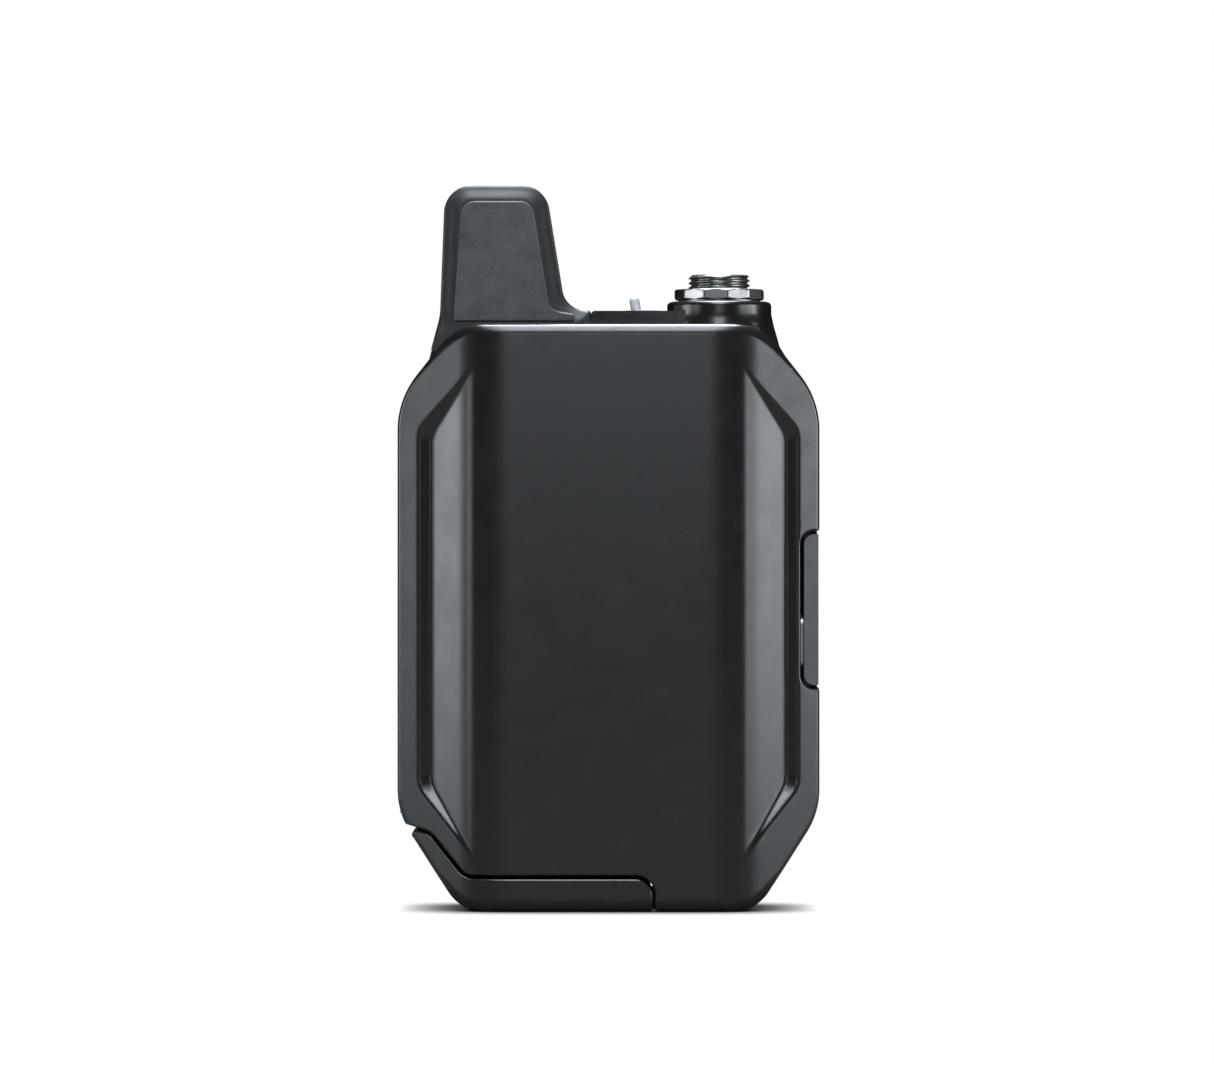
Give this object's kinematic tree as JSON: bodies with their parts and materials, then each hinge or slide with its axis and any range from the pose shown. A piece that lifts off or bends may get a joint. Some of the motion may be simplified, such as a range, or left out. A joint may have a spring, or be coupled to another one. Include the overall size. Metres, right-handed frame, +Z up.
{
  "type": "wireless bodypack transmitter",
  "caption": "Black metal bodypack radio transmitter with stub antenna fin, threaded microphone socket, power lever, side button and charging port, hinged battery door and wire belt clip.",
  "frame": {"origin": "middle of the flat base that the pack stands on", "axes": "+Z up towards the antenna and socket, front faces -Y, +X to the right seen from the front"},
  "size_m": [0.065, 0.03, 0.1118],
  "materials": {
    "casing_coat": "fine black powder coat on die-cast alloy",
    "antenna_plastic": "satin moulded",
    "antenna_face": "fine spark-eroded grain",
    "insert_plastic": "fine texture",
    "nickel": "bright nickel plate",
    "steel": "zinc plated",
    "black_steel": "black oxide",
    "gold": "gold flash",
    "brass": "turned",
    "black_plastic": "matte",
    "lever_plastic": "light grey satin",
    "lens_clear": "milky clear",
    "board_green": "solder mask",
    "chip_black": "moulded epoxy",
    "battery_wrap": "satin shell",
    "rubber": "soft seal",
    "flex_amber": "polyimide film",
    "label_film": "blank satin film"
  },
  "bodies": {
    "root": {"front_cover": "casing_coat", "rear_chassis": "casing_coat", "perimeter_seal": "rubber", "rear_label": "label_film", "door_hinge_pin": "steel", "battery_pack": "battery_wrap", "battery_terminals": "gold", "battery_contacts": "gold", "battery_bay": "black_plastic", "antenna_front_shell": "antenna_plastic", "antenna_rear_shell": "antenna_plastic", "antenna_face_panel": "antenna_face", "antenna_board": "board_green", "antenna_contact": "brass", "antenna_shell_screws": "black_steel", "antenna_mount_screws": "steel", "connector_barrel": "nickel", "connector_nut": "nickel", "connector_washer": "nickel", "connector_insert": "black_plastic", "connector_pins": "gold", "switch_bezel": "black_plastic", "lever_pin": "steel", "switch_body": "black_plastic", "switch_board": "board_green", "switch_flex": "flex_amber", "status_light_pipe": "lens_clear", "status_led": "label_film", "side_insert": "insert_plastic", "link_switch_body": "black_plastic", "usb_shell": "steel", "usb_tongue": "black_plastic", "io_board": "board_green", "io_flex": "flex_amber", "clip_lugs": "casing_coat", "main_board": "board_green", "shield_can": "steel", "board_chips": "chip_black", "case_screws": "black_steel", "threaded_inserts": "brass", "board_screws": "steel"},
    "power_lever": {"power_lever": "lever_plastic"},
    "switch_slider": {"switch_slider": "brass"},
    "link_button": {"link_button": "insert_plastic", "link_switch_plunger": "black_plastic"},
    "battery_door": {"battery_door": "casing_coat", "battery_pad": "rubber"},
    "door_lock": {"door_lock": "insert_plastic"},
    "belt_clip": {"belt_clip": "black_steel"}
  },
  "joints": [
    {"name": "power_lever_tilt", "type": "hinge", "parent": "root", "child": "power_lever", "pos_m": [0.0053, 0.0015, 0.0861], "axis": [0, 1, 0], "range_deg": [0, 18]},
    {"name": "switch_slider_travel", "type": "slide", "parent": "root", "child": "switch_slider", "axis": [1, 0, 0], "range_m": [-0.0006, 0]},
    {"name": "link_button_press", "type": "slide", "parent": "root", "child": "link_button", "axis": [-1, 0, 0], "range_m": [0, 0.0004], "stiffness_N_per_m": 300},
    {"name": "battery_door_swing", "type": "hinge", "parent": "root", "child": "battery_door", "pos_m": [0.005, 0, 0.0017], "axis": [0, -1, 0], "range_deg": [0, 95]},
    {"name": "door_lock_slide", "type": "slide", "parent": "root", "child": "door_lock", "axis": [0, -1, 0], "range_m": [0, 0.0024]},
    {"name": "belt_clip_flex", "type": "hinge", "parent": "root", "child": "belt_clip", "pos_m": [0, 0.014, 0.072], "axis": [1, 0, 0], "range_deg": [0, 12], "stiffness_Nm_per_rad": 1.4}
  ],
  "couplings": [
    {"joint": "power_lever_tilt", "follows": "switch_slider_travel", "rad_per_m": -523.6}
  ]
}
